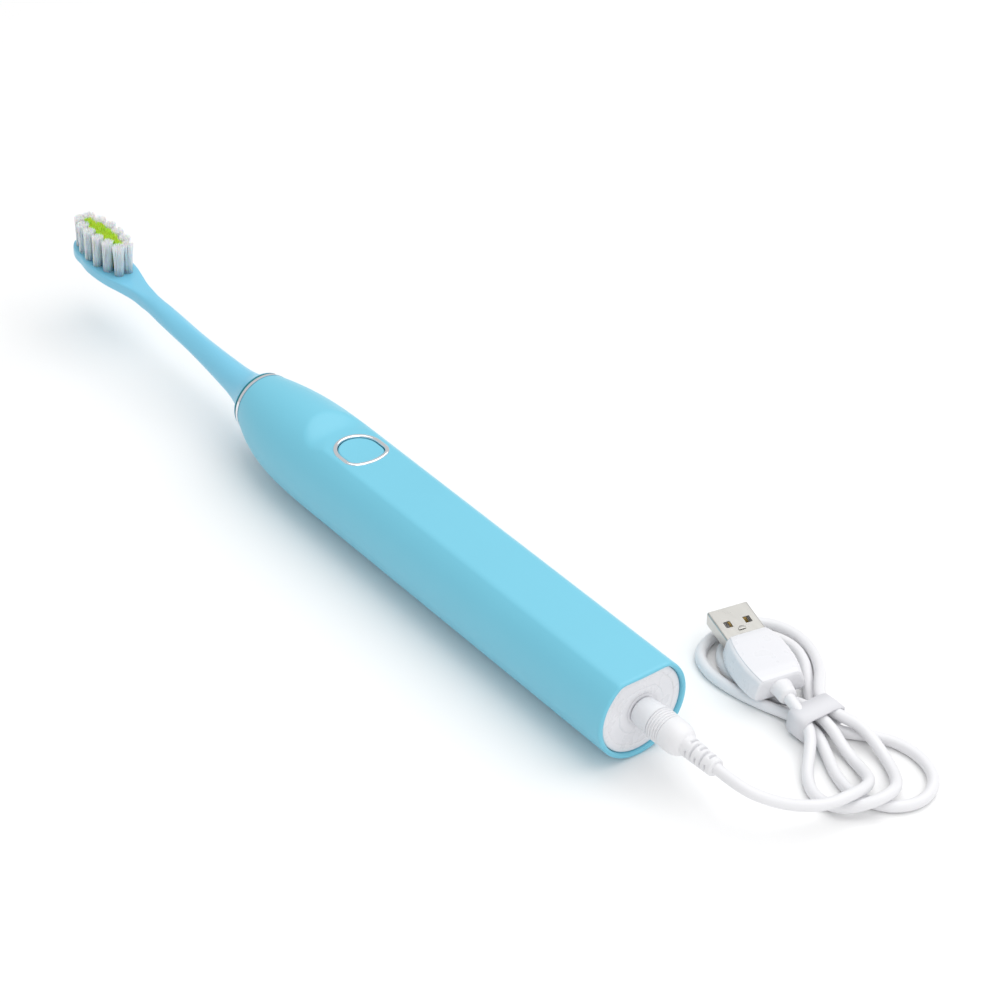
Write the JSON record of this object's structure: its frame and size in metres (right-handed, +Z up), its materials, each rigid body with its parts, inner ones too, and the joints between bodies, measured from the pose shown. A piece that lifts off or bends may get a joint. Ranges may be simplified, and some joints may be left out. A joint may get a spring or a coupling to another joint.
{
  "type": "electric toothbrush",
  "caption": "Battery toothbrush with a slim round handle, flat button face and a pull-off bristle head, lying down with its USB charging lead plugged into the base.",
  "frame": {"origin": "bottom centre of the brush without its lead, on the surface it lies on", "axes": "+X from the bristle head toward the charging end, +Z up, the way the button and bristles face"},
  "size_m": [0.3291, 0.0827, 0.0339],
  "materials": {
    "handle_blue": "satin",
    "neck_blue": "satin",
    "teal_rubber": "matte",
    "chrome_trim": "polished",
    "white_gloss": "gloss",
    "white_cord": "satin",
    "white_bristle": "matte",
    "green_bristle": "matte",
    "nickel": "satin",
    "steel": "satin",
    "brass": "satin",
    "copper_coil": "satin",
    "magnet": "matte",
    "black_plastic": "matte",
    "board_green": "satin",
    "clear_lamp": "gloss",
    "battery_wrap": "gloss",
    "grey_plastic": "matte",
    "foam": "matte"
  },
  "bodies": {
    "handle": {"handle_shell": "handle_blue", "neck_trim_ring": "chrome_trim", "shaft_seal": "teal_rubber", "button_trim_ring": "chrome_trim", "button_gasket": "teal_rubber", "chassis": "grey_plastic", "motor_can": "steel", "motor_coils": "copper_coil", "front_bearing": "brass", "rear_bearing": "brass", "circuit_board": "board_green", "tact_switch": "black_plastic", "indicator_leds": "clear_lamp", "battery_cell": "battery_wrap", "battery_contacts": "nickel", "battery_pad": "foam", "end_cap": "white_gloss", "end_cap_seal": "teal_rubber", "jack_body": "white_gloss", "jack_contacts": "brass", "frame_screws": "steel"},
    "drive_shaft": {"drive_shaft": "steel", "rotor_core": "steel", "rotor_magnets": "magnet"},
    "brush_head": {"head_body": "neck_blue", "head_base_ring": "teal_rubber", "head_bushing": "white_gloss", "head_clip": "steel", "white_tufts": "white_bristle", "green_tufts": "green_bristle", "tuft_anchors": "brass"},
    "power_button": {"button_cap": "handle_blue", "switch_stem": "black_plastic"},
    "charging_lead": {"plug_barrel": "nickel", "plug_insulator": "black_plastic", "plug_contact": "brass", "plug_overmould": "white_gloss", "plug_strain_relief": "white_cord", "cord_tube": "white_cord", "cord_hank": "white_cord", "cord_tie": "white_gloss", "usb_shell": "nickel", "usb_tongue": "white_gloss", "usb_contacts": "brass", "usb_overmould": "white_gloss", "usb_collar": "white_cord"}
  },
  "joints": [
    {"name": "shaft_sweep", "type": "hinge", "parent": "handle", "child": "drive_shaft", "pos_m": [0, 0, 0.0165], "axis": [1, 0, 0], "range_deg": [-4, 4], "stiffness_Nm_per_rad": 0.05},
    {"name": "head_pull_off", "type": "slide", "parent": "drive_shaft", "child": "brush_head", "axis": [-1, 0, 0], "range_m": [0, 0.02]},
    {"name": "button_press", "type": "slide", "parent": "handle", "child": "power_button", "axis": [0, 0, -1], "range_m": [0, 0.0004], "stiffness_N_per_m": 600},
    {"name": "lead_unplug", "type": "slide", "parent": "handle", "child": "charging_lead", "axis": [1, 0, 0], "range_m": [0, 0.014]}
  ]
}
